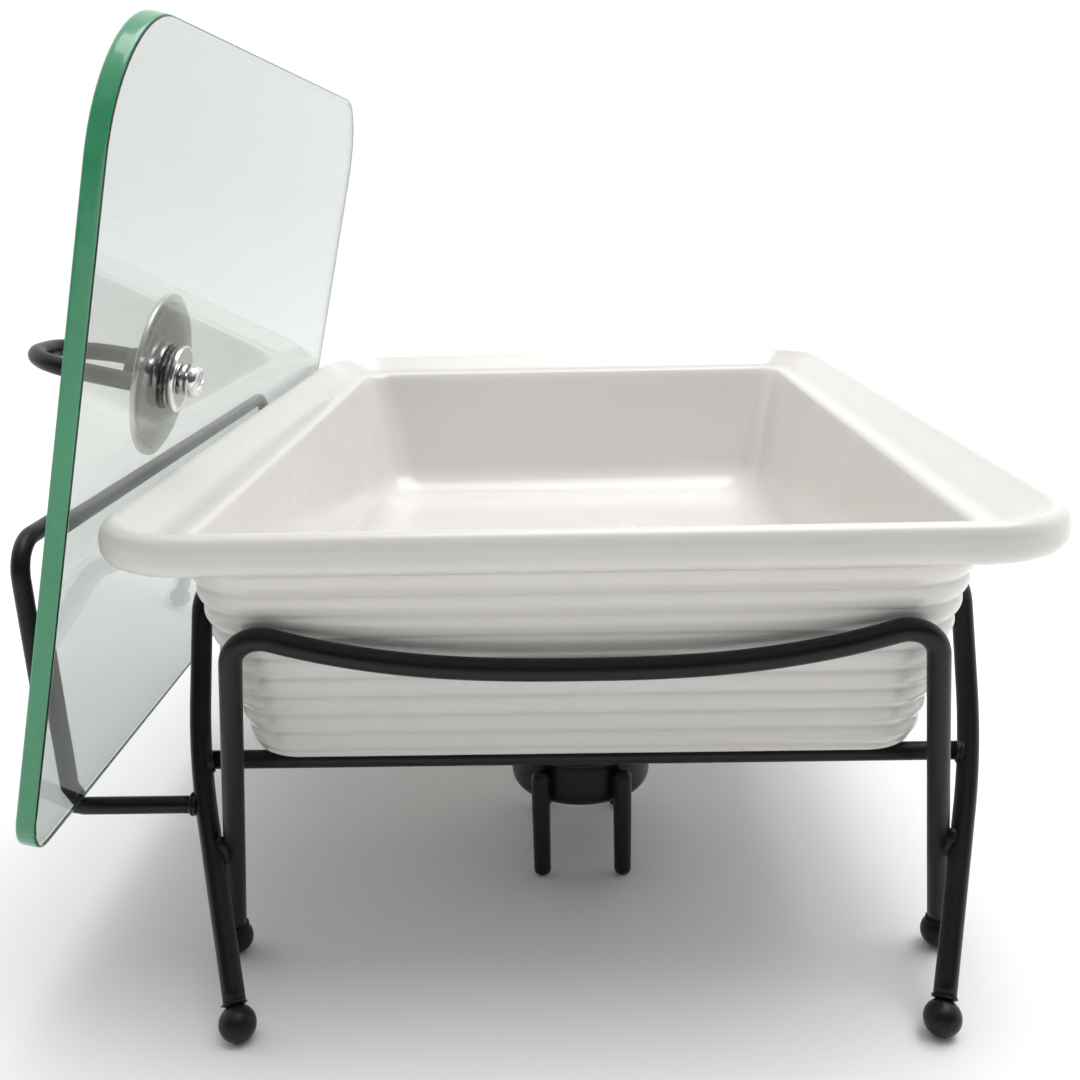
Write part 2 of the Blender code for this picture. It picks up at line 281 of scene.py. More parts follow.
def tube(path, radius, sides=20, reference=(1.0, 0.0, 0.0)):
    """Rings of a round bar: at each point of the path, a circle square to the path's tangent.

    The circle's first axis is the reference direction with its part along the tangent removed,
    and its second is the tangent crossed with the first. The radius may change along the path.
    """
    tangent = np.gradient(path, axis=0)
    tangent /= np.linalg.norm(tangent, axis=1, keepdims=True)
    reference = np.asarray(reference, float)
    first = reference - (tangent @ reference)[:, None] * tangent
    first /= np.linalg.norm(first, axis=1, keepdims=True)
    second = np.cross(tangent, first)
    angle = np.linspace(0, 2 * pi, sides, endpoint=False)[None, :, None]
    radius = np.broadcast_to(radius, len(path))[:, None, None]
    circle = np.cos(angle) * first[:, None] + np.sin(angle) * second[:, None]
    return path[:, None] + radius * circle


def skin(name, rings, look, body, nodes=(), loop=False, marks=None, angle=None):
    """A closed surface through rings of points, all of one count, as an object on a CAD body.

    Each quad joins a ring to the next. The last ring joins the first if loop is set, and if not,
    a fan onto its middle closes each end. The faces are turned over if the volume is negative.
    """
    count, sides = rings.shape[:2]
    grid = np.arange(count * sides).reshape(count, sides)
    lower = grid if loop else grid[:-1]
    upper = np.roll(grid, -1, axis=0) if loop else grid[1:]
    quads = np.stack([lower, np.roll(lower, -1, 1), np.roll(upper, -1, 1), upper], -1)
    quads = quads.reshape(-1, 4)
    points = rings.reshape(-1, 3)
    length = np.concatenate([[0], np.cumsum(
        np.linalg.norm(np.diff(rings, axis=0), axis=2).mean(axis=1))])
    uv = np.stack(np.broadcast_arrays(np.arange(sides) / sides, length[:, None]), -1).reshape(-1, 2)
    fans = np.empty((0, 3), int)
    if not loop:
        points = np.concatenate([points, rings[:1].mean(axis=1), rings[-1:].mean(axis=1)])
        uv = np.concatenate([uv, [[0.5, 0.0], [0.5, length[-1]]]])
        first, last = grid[0], grid[-1]
        middle = count * sides
        fans = np.concatenate([
            np.stack([np.roll(first, -1), first, np.full(sides, middle)], 1),
            np.stack([last, np.roll(last, -1), np.full(sides, middle + 1)], 1)])
    corner = points[quads]
    halves = np.concatenate([corner[:, [0, 1, 2]], corner[:, [0, 2, 3]], points[fans]])
    if np.linalg.det(halves).sum() < 0:
        quads, fans = quads[:, ::-1], fans[:, ::-1]
    mesh = bpy.data.meshes.new(name)
    mesh.from_pydata(points.tolist(), [], quads.tolist() + fans.tolist())
    layer = mesh.uv_layers.new(name="UVMap")
    corners = np.concatenate([quads.ravel(), fans.ravel()])
    layer.data.foreach_set("uv", uv[corners].astype(np.float32).ravel())
    if marks is not None:
        values = np.zeros(len(points), np.float32)
        values[:count * sides] = np.broadcast_to(marks[:, None], (count, sides)).ravel()
        mesh.attributes.new("mark", "FLOAT", "POINT").data.foreach_set("value", values)
    mesh.shade_smooth()
    if angle is not None:
        mesh.set_sharp_from_angle(angle=radians(angle))
    mesh.materials.append(look)
    piece = bpy.data.objects.new(name, mesh)
    scene.collection.objects.link(piece)
    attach(piece, body)
    if nodes:
        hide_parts(*nodes)
    return piece


def about_dish(points):
    """Points laid out about the dish's middle, in the whole object's frame."""
    return np.asarray(points, float) + (SHIFT, 0.0, 0.0)


def leg_end(foot, towards, short=0.0006):
    """Where a leg's line meets its ball, short of the ball's skin by the given depth."""
    ball = np.array([foot[0], foot[1], BALL / 2])
    way = np.array(towards) - ball
    return ball + way / np.linalg.norm(way) * (BALL / 2 - short)


def sagging(start, end, lean, drop, steps=48):
    """A rail that hangs as drop times (1 - |t|^2.6), where t is -1 and 1 at the two corners.

    The middle 7/8 of it is given, which leaves room for the bends at the corners.
    """
    t = np.linspace(-RAIL_SHARE, RAIL_SHARE, steps)[:, None]
    start, end = np.array(start, float), np.array(end, float)
    sag = drop * (1 - np.abs(t) ** SAG_POWER)
    return (start + end) / 2 + (end - start) / 2 * t + sag * np.array(lean)


powder_coat = coat_finish()
leg_paths = {}
for place, way in (("front", -1), ("back", 1)):
    x, y, z = END_TOP[0], END_TOP[1] * way, END_TOP[2]
    lean = (0.0, (END_FOOT[1] - END_TOP[1]) * way / (z - BALL / 2), -1.0)
    rail = sagging((-x, y, z), (x, y, z), lean, END_SAG)
    left, right = [leg_end((END_FOOT[0] * s, END_FOOT[1] * way), (x * s, y, z)) for s in (-1, 1)]
    corners = [left, (-x, y, z), *rail, (x, y, z), right]
    path = bent(corners, [END_BEND, *[0] * len(rail), END_BEND])
    rings = tube(about_dish(evenly(path, RING_GAP)), WIRE / 2, reference=(0, 1, 0.2))
    skin(f"end_wire_{place}_rod", rings, powder_coat, "stand", [f"end_wire_{place}"])
    ends = np.array([((BAR_END + WELDED_IN) * s, BAR_Y * way, BAR_AXIS) for s in (-1, 1)])
    rings = tube(about_dish(evenly(ends, BAR_RING_GAP)), BAR / 2, reference=(0, 0, 1))
    skin(f"base_bar_{place}_rod", rings, powder_coat, "stand", [f"base_bar_{place}"])
for place, way in (("left", -1), ("right", 1)):
    knee = (SIDE_KNEE[0] * way, -SIDE_KNEE[1], SIDE_KNEE[2])
    top = (SIDE_TOP[0] * way, -SIDE_TOP[1], SIDE_TOP[2])
    start = leg_end((SIDE_FOOT[0] * way, -SIDE_FOOT[1]), knee)
    rail = sagging(top, (top[0], -top[1], top[2]), (0, 0, -1), SIDE_SAG)
    mirrored = [(p[0], -p[1], p[2]) for p in (top, knee, start)]
    bends = [KNEE_BEND, RAIL_BEND, *[0] * len(rail), RAIL_BEND, KNEE_BEND]
    leg_paths[place] = bent([start, knee, top, *rail, *mirrored], bends)
    rings = tube(about_dish(evenly(leg_paths[place], RING_GAP)), WIRE / 2)
    skin(f"side_wire_{place}_rod", rings, powder_coat, "stand", [f"side_wire_{place}"])


# ---- Ball feet and weld beads --------------------------------------------------------------
# Turned steel balls welded on the leg ends, with a tiny flat where they stand. Small fused
# beads join the wires where they cross, and the cross bars and the rack to the legs.

BALL_SKIN, BALL_FLAT = 0.00006, 0.0012
BALL_WELD, CROSS_WELD, BAR_WELD = (0.0009, 0.0034), (0.0048, 0.0026), (0.0022, 0.0036)
FINE_GAP = 0.0008


def turned(profile, at, steps=48, axis=(0.0, 0.0, 1.0), across=(1.0, 0.0, 0.0)):
    """Rings of a turned piece: each (radius, height) of the profile is a circle about the axis."""
    profile = np.asarray(profile, float)
    axis, across = np.asarray(axis, float), np.asarray(across, float)
    other = np.cross(axis, across)
    angle = np.linspace(0, 2 * pi, steps, endpoint=False)[None, :, None]
    circle = np.cos(angle) * across + np.sin(angle) * other
    return (np.asarray(at, float) + profile[:, 1, None, None] * axis
            + profile[:, 0, None, None] * circle)


def ball_profile(radius, flat):
    """A sphere cut by the floor, from just under its top down to the flat it stands on."""
    low = -np.arccos(flat / radius)
    arc = np.linspace(pi / 2 - 0.03, low, 26)
    drop = radius * np.sin(low)
    return np.stack([radius * np.cos(arc), radius * np.sin(arc) - drop], 1)


def bead(name, at, along, length, width, seed, body="stand"):
    """A weld bead: an ellipsoid about a direction, its radius rippled along and around it."""
    along = np.asarray(along, float) / np.linalg.norm(along)
    side = np.cross(along, (0.31, 0.52, 0.79))
    side /= np.linalg.norm(side)
    t = np.linspace(0.04, pi - 0.04, 28)[:, None]
    a = np.linspace(0, 2 * pi, 28, endpoint=False)[None]
    ripple = 1 + 0.06 * np.sin(9 * t + seed) + 0.05 * np.sin(3 * a + 2.1 * seed) * np.sin(t)
    around = np.cos(a)[..., None] * side + np.sin(a)[..., None] * np.cross(along, side)
    rings = (np.asarray(at, float) - (np.cos(t) * length)[..., None] * along
             + (np.sin(t) * width * ripple)[..., None] * around)
    skin(name, about_dish(rings), powder_coat, body)


corners = (("fl", -1, -1), ("fr", 1, -1), ("bl", -1, 1), ("br", 1, 1))
for kind, foot, towards in (("end", END_FOOT, END_TOP), ("side", SIDE_FOOT, SIDE_KNEE)):
    for place, sx, sy in corners:
        at = (foot[0] * sx + SHIFT, foot[1] * sy, 0.0)
        skin(f"{kind}_ball_{place}", turned(ball_profile(BALL / 2 - BALL_SKIN, BALL_FLAT), at),
             powder_coat, "stand", [f"{kind}_foot_{place}"])
        aim = np.array([towards[0] * sx, towards[1] * sy, towards[2]])
        neck = leg_end((foot[0] * sx, foot[1] * sy), aim, short=0.0001)
        bead(f"{kind}_ball_weld_{place}", neck, aim - neck, *BALL_WELD, len(place) + sx)


def nearest(path_a, path_b):
    """The middle of the shortest gap between two paths, and the direction across it."""
    gaps = np.linalg.norm(path_a[:, None] - path_b[None], axis=2)
    a, b = np.unravel_index(gaps.argmin(), gaps.shape)
    return (path_a[a] + path_b[b]) / 2, path_b[b] - path_a[a]


for number, (place, sx, sy) in enumerate(corners):
    side_leg = evenly(leg_paths["left" if sx < 0 else "right"], FINE_GAP) * (1, -sy, 1)
    side_leg = side_leg[side_leg[:, 1] * sy > SIDE_TOP[1]]
    top = (END_TOP[0] * sx, END_TOP[1] * sy, END_TOP[2])
    foot = leg_end((END_FOOT[0] * sx, END_FOOT[1] * sy), top)
    at, _ = nearest(side_leg, evenly(np.array([foot, top]), FINE_GAP))
    bead(f"cross_weld_{place}", at, (0.1 * sx, 0.25 * sy, 1.0), *CROSS_WELD, number)
    bar = np.array([(0.0, BAR_Y * sy, BAR_AXIS), (BAR_END * sx, BAR_Y * sy, BAR_AXIS)])
    at, across = nearest(side_leg, evenly(bar, FINE_GAP))
    bead(f"bar_weld_{place}", at, across, *BAR_WELD, number + 1.7)


# ---- Lid rack ------------------------------------------------------------------------------
# One thinner wire, bent out from the left legs, up, and along the side as a rail. Its two arms
# carry the lid's lower edge. It is welded to the legs and coated with them.

RACK_Y, RACK_Z = 0.1292, 0.0490
RACK_START, RACK_OUT, RACK_TOP = 0.1102, 0.1482, (0.1500, 0.1260)
ARM_BEND, TOP_BEND = 0.004, 0.010
RACK_WELD = (0.0024, 0.0034)

arm = [(-RACK_START + WELDED_IN, RACK_Z), (-RACK_OUT, RACK_Z), (-RACK_TOP[0], RACK_TOP[1])]
rack_path = bent([(x, -RACK_Y, z) for x, z in arm] + [(x, RACK_Y, z) for x, z in arm[::-1]],
                 [ARM_BEND, TOP_BEND, TOP_BEND, ARM_BEND])
rings = tube(about_dish(evenly(rack_path, RING_GAP)), THIN_WIRE / 2, reference=(0.62, 0.35, -0.70))
skin("lid_rack_rod", rings, powder_coat, "stand", ["lid_rack"])
for place, way in (("front", -1), ("back", 1)):
    at = (-RACK_START + WELDED_IN / 2, RACK_Y * way, RACK_Z)
    bead(f"rack_weld_{place}", at, (1, 0, 0), *RACK_WELD, 4.0 + way)


# ---- Dish ----------------------------------------------------------------------------------
# Slip-cast white stoneware under a glossy glaze: nine ribs round the outside, a rolled rim, and
# a ledge inside it with a soft groove for the lid. Painted shade greys the glaze in the grooves
# between the ribs, in the lid groove and round the foot.

DISH_X, DISH_Y, FLOOR, UNDERSIDE = 0.120, 0.169, 0.0775, 0.0700
WALL_TOP_X, WALL_TOP_Y, WALL_TOP = 0.1010, 0.1560, 0.1250
BASE_X, BASE_Y = 0.0935, 0.1290
RIBS, RIB_DEPTH = 9, 0.0011
STEP_X, STEP_Y, LEDGE = 0.1060, 0.1550, 0.1315
LEDGE_X, LEDGE_Y = 0.0990, 0.1490
GLAZE_THIN, GLAZE_THICK = (0.728, 0.706, 0.676), (0.768, 0.748, 0.720)
# The third colour is painted shade for the grooves and creases; the fourth is the glaze's own
# pinholes.
GLAZE_CREASE_SHADE, PINHOLE = (0.640, 0.620, 0.590), (0.35, 0.30, 0.24)


def glaze_finish():
    """Clear glossy glaze on a white body: cloudy, a little wavy, with painted shade greying its
    grooves and creases.
    """
    look = Finish("white_glaze", "glazed_ceramic", Coat_Weight=0.3, Coat_Roughness=0.10, IOR=1.48)
    crease_shade = look.node("ShaderNodeAttribute", {"attribute_name": "mark"}, output=2)
    cloud = look.noise(look.place(), 22.0, detail=5.0)
    wave = look.noise(look.place(), 60.0, detail=2.0)
    cells = look.node("ShaderNodeTexVoronoi", {}, {"Vector": look.place(), "Scale": 130.0})
    pin = 1 - look.span(cells, 0.015, 0.035)
    body = look.blend(cloud, GLAZE_THIN, GLAZE_THICK)
    # Painted shade: the glaze is greyed where the rings are marked, in grooves and creases.
    body = look.blend(crease_shade * 0.65, body, GLAZE_CREASE_SHADE)
    look.drive(Base_Color=look.blend(pin * 0.25, body, PINHOLE),
               Roughness=look.span(cloud, 0.3, 0.7, 0.20, 0.28))
    return look.bump(wave - pin * 0.3, 0.0005, 0.18).material


def flowing(points, steps=10):
    """A Catmull-Rom curve through the points: each span is a cubic on its four neighbours."""
    points = np.asarray(points, float)
    padded = np.concatenate([2 * points[:1] - points[1:2], points, 2 * points[-1:] - points[-2:-1]])
    a, b, c, d = padded[:-3, None], padded[1:-2, None], padded[2:-1, None], padded[3:, None]
    t = (np.arange(steps) / steps)[None, :, None]
    curve = 0.5 * (2 * b + (c - a) * t + (2 * a - 5 * b + 4 * c - d) * t ** 2
                   + (3 * b - a - 3 * c + d) * t ** 3)
    return np.concatenate([curve.reshape(-1, points.shape[1]), points[-1:]])


def rounded_rectangle(half_x, half_y, radius, low_radius=None, turns=18, straight=26):
    """A rounded rectangle: quarter circles at the corners, and straight sides cut in equal parts.

    The corners on the -X side have their own radius if low_radius is given.
    """
    low_radius = radius if low_radius is None else low_radius
    quarter = np.linspace(0, pi / 2, turns)
    sizes = np.stack(np.broadcast_arrays(half_x, half_y, radius, low_radius), -1).reshape(-1, 4)
    ring = []
    for sx, sy, begin in ((1, 1, 0), (-1, 1, pi / 2), (-1, -1, pi), (1, -1, 3 * pi / 2)):
        round_off = sizes[:, 2:3] if sx > 0 else sizes[:, 3:4]
        centre_x, centre_y = sx * (sizes[:, :1] - round_off), sy * (sizes[:, 1:2] - round_off)
        arc = np.stack([centre_x + round_off * np.cos(begin + quarter),
                        centre_y + round_off * np.sin(begin + quarter)], -1)
        ring.append(arc)
    sides = []
    for number, arc in enumerate(ring):
        following = ring[(number + 1) % 4][:, :1]
        part = np.linspace(0, 1, straight + 2)[1:-1][None, :, None]
        sides += [arc, arc[:, -1:] + (following - arc[:, -1:]) * part]
    return np.concatenate(sides, axis=1)


def dish_sections():
    """(height, half width, half length, corner radius, painted crease shade) of every ring of the
    dish.

    They run out under the hollow and the foot ring, up the ribbed wall, over the lip, down on to
    the ledge and down the bowl's wall, whose foot is a quadratic curve into the floor. A rib
    stands out by its depth times |sin| of half its share of the wall, to the power 0.85.
    """
    part = np.linspace(0, 1, RIBS * 14 + 1)
    wave = np.abs(np.sin(pi * part * RIBS))
    bulge = RIB_DEPTH * wave ** 0.85
    # The last column is painted shade, strongest in the grooves between the ribs.
    wall = np.stack([DISH_BOTTOM + 0.003 + (WALL_TOP - DISH_BOTTOM - 0.003) * part,
                     BASE_X + (WALL_TOP_X - BASE_X) * part + bulge,
                     BASE_Y + (WALL_TOP_Y - BASE_Y) * part + bulge,
                     0.013 + 0.008 * part + bulge, np.clip(1 - 1.8 * wave, 0, 1)], 1)
    turn = np.linspace(0, pi / 2, 8)[:-1]
    under = np.stack([DISH_BOTTOM + 0.003 * (1 - np.cos(turn)),
                      BASE_X - 0.004 * (1 - np.sin(turn)), BASE_Y - 0.003 * (1 - np.sin(turn)),
                      0.012 + 0.001 * np.sin(turn), 0 * turn], 1)
    hollow = [(UNDERSIDE, (BASE_X - 0.020) * k, (BASE_Y - 0.019) * k, 0.008 * k, 0)
              for k in (0.15, 0.5, 0.85, 1.0)]
    foot = [(UNDERSIDE - 0.0005, BASE_X - 0.0187, BASE_Y - 0.0177, 0.008, 0.6),
            (UNDERSIDE - 0.0040, BASE_X - 0.0180, BASE_Y - 0.0170, 0.008, 0),
            (DISH_BOTTOM + 0.0012, BASE_X - 0.0172, BASE_Y - 0.0162, 0.008, 0),
            (DISH_BOTTOM, BASE_X - 0.0160, BASE_Y - 0.0150, 0.008, 0),
            (DISH_BOTTOM, BASE_X - 0.0052, BASE_Y - 0.0042, 0.0115, 0)]
    base = np.array(hollow + foot)
    rim = flowing([(0.0188, 0.1252), (0.0172, 0.1260), (0.0120, 0.12655), (0.0050, 0.1270),
                   (0.0016, 0.1283), (0.0002, 0.1306), (0.00004, 0.1330), (0.0003, 0.1350),
                   (0.0012, 0.1369), (0.0028, 0.1379), (0.0042, 0.1378), (0.0056, 0.1368)], 6)
    rim = np.stack([rim[:, 1], DISH_X - rim[:, 0], DISH_Y - rim[:, 0],
                    0.026 - 0.86 * rim[:, 0], 0 * rim[:, 0]], 1)
    # Painted shade is strongest at the foot of the lip's inner wall, where it meets the ledge.
    step = flowing([
        (0.1358, DISH_X - 0.0070, DISH_Y - 0.0070, 0.0198, 0), (0.1335, 0.1096, 0.1586, 0.0177, 0),
        (0.1322, 0.1076, 0.1566, 0.0163, 0.5), (LEDGE + 0.00005, STEP_X, STEP_Y, 0.0152, 1.0),
        (LEDGE - 0.0002, STEP_X - 0.0015, STEP_Y - 0.0014, 0.0145, 0.5),
        (LEDGE, STEP_X - 0.0040, STEP_Y - 0.0036, 0.0135, 0),
        (LEDGE - 0.0001, LEDGE_X + 0.0012, LEDGE_Y + 0.0011, 0.0126, 0),
        (LEDGE - 0.0010, LEDGE_X + 0.0001, LEDGE_Y + 0.0001, 0.0122, 0),
        (LEDGE - 0.0026, LEDGE_X - 0.0005, LEDGE_Y - 0.0010, 0.0121, 0)], 6)
    depth = np.linspace(0, 1, 22)[1:-1, None]
    start, corner = step[-1], np.array([FLOOR, 0.0870, 0.1226, 0.0150, 0])
    above = start + (corner - start) * 0.76
    inner = start + (above - start) * depth
    bend = np.linspace(0, 1, 22)[:, None]
    flat = np.array([FLOOR, 0.0745, 0.1096, 0.0120, 0])
    bowl = (1 - bend) ** 2 * above + 2 * bend * (1 - bend) * corner + bend ** 2 * flat
    middle = np.array([(FLOOR, 0.0700 * k, 0.1020 * k, 0.0100 * k, 0) for k in (0.8, 0.5, 0.15)])
    return np.concatenate([base, under, wall[:-1], rim, step, inner, bowl, middle])


glaze = glaze_finish()
sections = dish_sections()
outline = rounded_rectangle(sections[:, 1], sections[:, 2], sections[:, 3])
dish_rings = np.concatenate([outline, np.broadcast_to(
    sections[:, :1, None], (*outline.shape[:2], 1))], -1)
skin("dish_body", about_dish(dish_rings), glaze, "dish", ["dish"], marks=sections[:, 4])


# ---- Lid glass -----------------------------------------------------------------------------
# A 5 mm plate of float glass, cut, ground round its edge and toughened, with one drilled hole.
# Its iron content shows green wherever light runs a long way through it; at the edges that green
# glow is painted on as an opaque colour.

LEAN = radians(13.2)
LID_WIDTH, LID_LENGTH, GLASS = 0.208, 0.306, 0.005
LID_CORNER, LID_FOOT_CORNER = 0.034, 0.012
LID_FOOT = np.array([-0.1428 + SHIFT, -0.0130, 0.0525])
LID_UP = np.array([sin(LEAN), 0.0, cos(LEAN)])
LID_OUT = np.array([-cos(LEAN), 0.0, sin(LEAN)])
HANDLE_U, HANDLE_V, SCREW_HOLE = 0.1165, -0.084, 0.0034
ARRIS, HOLE_ARRIS = 0.0007, 0.0004
FIRST_EDGE, LAST_EDGE = 3, 8
CLEAR, ABSORBED = (0.655, 0.686, 0.668, 1.0), (0.45, 0.90, 0.70, 1.0)
# Painted light: these greens stand in for light carried a long way through the plate to its edge.
EDGE_GLOW_DEEP, EDGE_GLOW_BRIGHT = (0.012, 0.185, 0.078), (0.050, 0.360, 0.165)
EDGE_GLOW_STREAK = (0.10, 0.46, 0.24)


def on_lid(points):
    """Lid coordinates (up the lid, along it, out of its handle side) in the object's frame."""
    points = np.asarray(points, float)
    return (LID_FOOT + points[..., :1] * LID_UP + points[..., 1:2] * np.array([0.0, 1.0, 0.0])
            + points[..., 2:] * LID_OUT)


def glass_finish():
    """Clear glass, faintly wavy, its green from absorption inside the plate."""
    look = Finish("green_tinted_glass", "lid_glass", Roughness=0.0, IOR=1.52,
                  Transmission_Weight=1.0, Base_Color=CLEAR)
    wave = look.noise(look.place(), 9.0, detail=1.0)
    inside = look.node("ShaderNodeVolumeAbsorption", {}, {"Color": ABSORBED, "Density": 7.0})
    look.tree.links.new(inside.socket, look.tree.nodes["Material Output"].inputs["Volume"])
    return look.bump(wave, 0.0004, 0.02).material


def painted_edge_glow_finish():
    """The ground edge, opaque, with painted light: a green glow standing in for light carried
    through the plate, streaked and clouded along it.
    """
    look = Finish("ground_edge_painted_glow", "lid_glass", IOR=1.52, Coat_Weight=0.4, Coat_Roughness=0.06)
    cloud = look.noise(look.place(), 26.0)
    streak = look.noise(look.place((30.0, 30.0, 30.0)), 6.0, detail=2.0)
    # Painted light: the edge's green glow, clouded and streaked.
    base = look.blend(cloud, EDGE_GLOW_DEEP, EDGE_GLOW_BRIGHT)
    look.drive(Base_Color=look.blend(streak * 0.35, base, EDGE_GLOW_STREAK),
               Roughness=look.span(streak, 0.3, 0.7, 0.14, 0.30))
    return look.bump(streak, 0.00005, 0.3).material


def plate_rings():
    """Closed rings round the plate's section: one face, the ground edge, the other face, the hole.

    A ring of the edge is the outline moved in by an inset, and a ring of the hole is a circle
    whose points lie in the same directions from the hole as the outline's do.
    """
    half = GLASS / 2
    edge = [(0.0110, -half), (0.0012, -half), (ARRIS, -half), (0.22 * ARRIS, -half + 0.22 * ARRIS),
            (0.0, -half + ARRIS), (0.0, -half + 2 * ARRIS), (0.0, half - 2 * ARRIS),
            (0.0, half - ARRIS), (0.22 * ARRIS, half - 0.22 * ARRIS), (ARRIS, half),
            (0.0012, half), (0.0110, half)]
    inset, height = np.array(edge).T
    outline = rounded_rectangle(LID_WIDTH / 2 - inset, LID_LENGTH / 2 - inset,
                                LID_CORNER - inset, LID_FOOT_CORNER - inset)
    outline = outline + (LID_WIDTH / 2, 0.0)
    angle = np.arctan2(outline[0, :, 1] - HANDLE_V, outline[0, :, 0] - HANDLE_U)
    circle = np.stack([np.cos(angle), np.sin(angle)], -1)
    hole = [(0.0060, half), (SCREW_HOLE + HOLE_ARRIS, half), (SCREW_HOLE, half - HOLE_ARRIS),
            (SCREW_HOLE, -half + HOLE_ARRIS), (SCREW_HOLE + HOLE_ARRIS, -half), (0.0060, -half)]
    radius, hole_height = np.array(hole).T
    bore = np.array([HANDLE_U, HANDLE_V]) + radius[:, None, None] * circle
    flat = np.concatenate([outline, bore])
    heights = np.concatenate([height, hole_height])[:, None, None]
    return np.concatenate([flat, np.broadcast_to(heights, (*flat.shape[:2], 1))], -1)


section_rings = plate_rings()
plate = skin("lid_plate", on_lid(section_rings), glass_finish(), "lid", ["lid_glass"], loop=True)
# The ground edge gets the painted green glow in place of light carried through the glass.
plate.data.materials.append(painted_edge_glow_finish())
is_edge = np.zeros(section_rings.shape[:2], np.int32)
is_edge[FIRST_EDGE:LAST_EDGE] = 1
plate.data.polygons.foreach_set("material_index", is_edge.ravel())


# ---- Lid handle ----------------------------------------------------------------------------
# A bent wire loop and a threaded boss, welded on a brushed stainless disc that bears on the
# glass through a thin gasket. One pan-head screw from inside holds it, over a washer and a
# split spring washer.

GAP = 0.0003
FACE = GLASS / 2 + GAP
DISC_LOW = FACE + 0.0010
DISC_HIGH = DISC_LOW + 0.0015
BOSS_LOW = DISC_HIGH + GAP
WASHER_TOP = -FACE - 0.0011
SPRING_TOP = WASHER_TOP - 0.0017
HEAD_TOP = SPRING_TOP - 0.0018
LOOP_REACH, LOOP_WIDTH, LOOP_BEND = 0.0335, 0.034, 0.0145
DISC_RADIUS, SEAL_RADIUS, INNER_SEAL_RADIUS, WASHER_RADIUS = 0.0230, 0.0210, 0.0088, 0.0095
BORE, SEAL_BORE, THREAD_PITCH = 0.0029, 0.0034, 0.0008
SEAL, INNER_SEAL, WASHER = 0.0007, 0.0008, 0.0014
STEEL, PLATE = (0.66, 0.65, 0.63), (0.86, 0.86, 0.86)
SEAL_DULL, SEAL_CLEAR = (0.90, 0.91, 0.91), (0.95, 0.96, 0.96)


def brushed_finish(name, slot, colour, low, high, rings):
    """Stainless steel with fine lathe lines, as noise stretched round the piece."""
    look = Finish(name, slot, Metallic=1.0)
    line = look.noise(look.surface_uv((0.6, rings, 1.0)), 1.0, detail=6.0, roughness=0.7)
    cloud = look.noise(look.place(), 120.0)
    dull = tuple(part * 0.84 for part in colour)
    look.drive(Base_Color=look.blend(line, dull, colour),
               Roughness=look.span(line * 0.7 + cloud * 0.3, 0.3, 0.7, low, high))
    return look.bump(line, 0.00001, 0.3).material


def gasket_finish():
    """Clear silicone, frosted where it's pressed."""
    look = Finish("clear_silicone", "gasket", IOR=1.41, Transmission_Weight=0.85)
    cloud = look.noise(look.place(), 260.0, detail=2.0)
    look.drive(Base_Color=look.blend(cloud, SEAL_DULL, SEAL_CLEAR),
               Roughness=look.span(cloud, 0.3, 0.7, 0.16, 0.20))
    return look.bump(cloud, 0.00001, 0.15).material


def ring_profile(inner, outer, low, high, edge):
    """The section of a flat ring, going round it, with its corners eased by a small radius."""
    corner = np.linspace(0, pi / 2, 5)
    x = np.concatenate([outer - edge + edge * np.sin(corner), outer - edge + edge * np.cos(corner),
                        inner + edge - edge * np.sin(corner), inner + edge - edge * np.cos(corner)])
    z = np.concatenate([high - edge + edge * np.cos(corner), low + edge - edge * np.sin(corner),
                        low + edge - edge * np.cos(corner), high - edge + edge * np.sin(corner)])
    return np.stack([x, z], 1)


def lid_turned(profile, steps=96):
    """A turned piece about the screw's line, in the object's frame."""
    at = on_lid((HANDLE_U, HANDLE_V, 0.0))
    return turned(profile, at, steps, axis=LID_OUT, across=LID_UP)


def pan_head(top):
    """The screw from its tip to its head, as a turned profile, and its crossed driver recess.

    The thread's radius follows the sine of depth over pitch. The recess sinks the head's face
    wherever the smaller of the two distances from the slots' centre lines is under the slot's
    half width, fading out at the slots' ends.
    """
    shank = [(0.0012, BOSS_LOW + 0.0050), (0.0019, BOSS_LOW + 0.0049), (0.0025, BOSS_LOW + 0.0044)]
    depth = np.linspace(BOSS_LOW + 0.0042, top + 0.0002, 90)
    thread = np.stack([0.0024 + 0.00012 * np.sin(depth / THREAD_PITCH * 2 * pi), depth], 1)
    turn = np.linspace(0, pi / 2, 14)
    head = np.stack([0.0034 + 0.0012 * np.cos(turn), top - 0.0012 - 0.0017 * np.sin(turn)], 1)
    crown = np.linspace(0.0033, 0.00006, 40)
    face = np.stack([crown, top - 0.0029 - 0.00035 * (1 - (crown / 0.0034) ** 2)], 1)
    profile = np.concatenate([shank, thread, [(0.0025, top), (0.0044, top), (0.0046, top - 0.0002)],
                              head, face])
    rings = lid_turned(profile, 144)
    angle = np.linspace(0, 2 * pi, 144, endpoint=False) + 0.5
    radius = profile[:, :1]
    x, y = radius * np.cos(angle), radius * np.sin(angle)
    near, far = np.minimum(np.abs(x), np.abs(y)), np.maximum(np.abs(x), np.abs(y))
    slot = np.clip((0.00062 - near) / 0.00022, 0, 1) * np.clip((0.0027 - far) / 0.0006, 0, 1)
    on_face = (np.arange(len(profile)) >= len(profile) - len(face))[:, None]
    sink = 0.0014 * slot * on_face
    return rings + sink[..., None] * LID_OUT


brushed = brushed_finish("brushed_stainless", "brushed_steel", STEEL, 0.22, 0.38, 5200.0)
chrome = brushed_finish("bright_plate", "chrome", PLATE, 0.06, 0.13, 900.0)
gasket = gasket_finish()

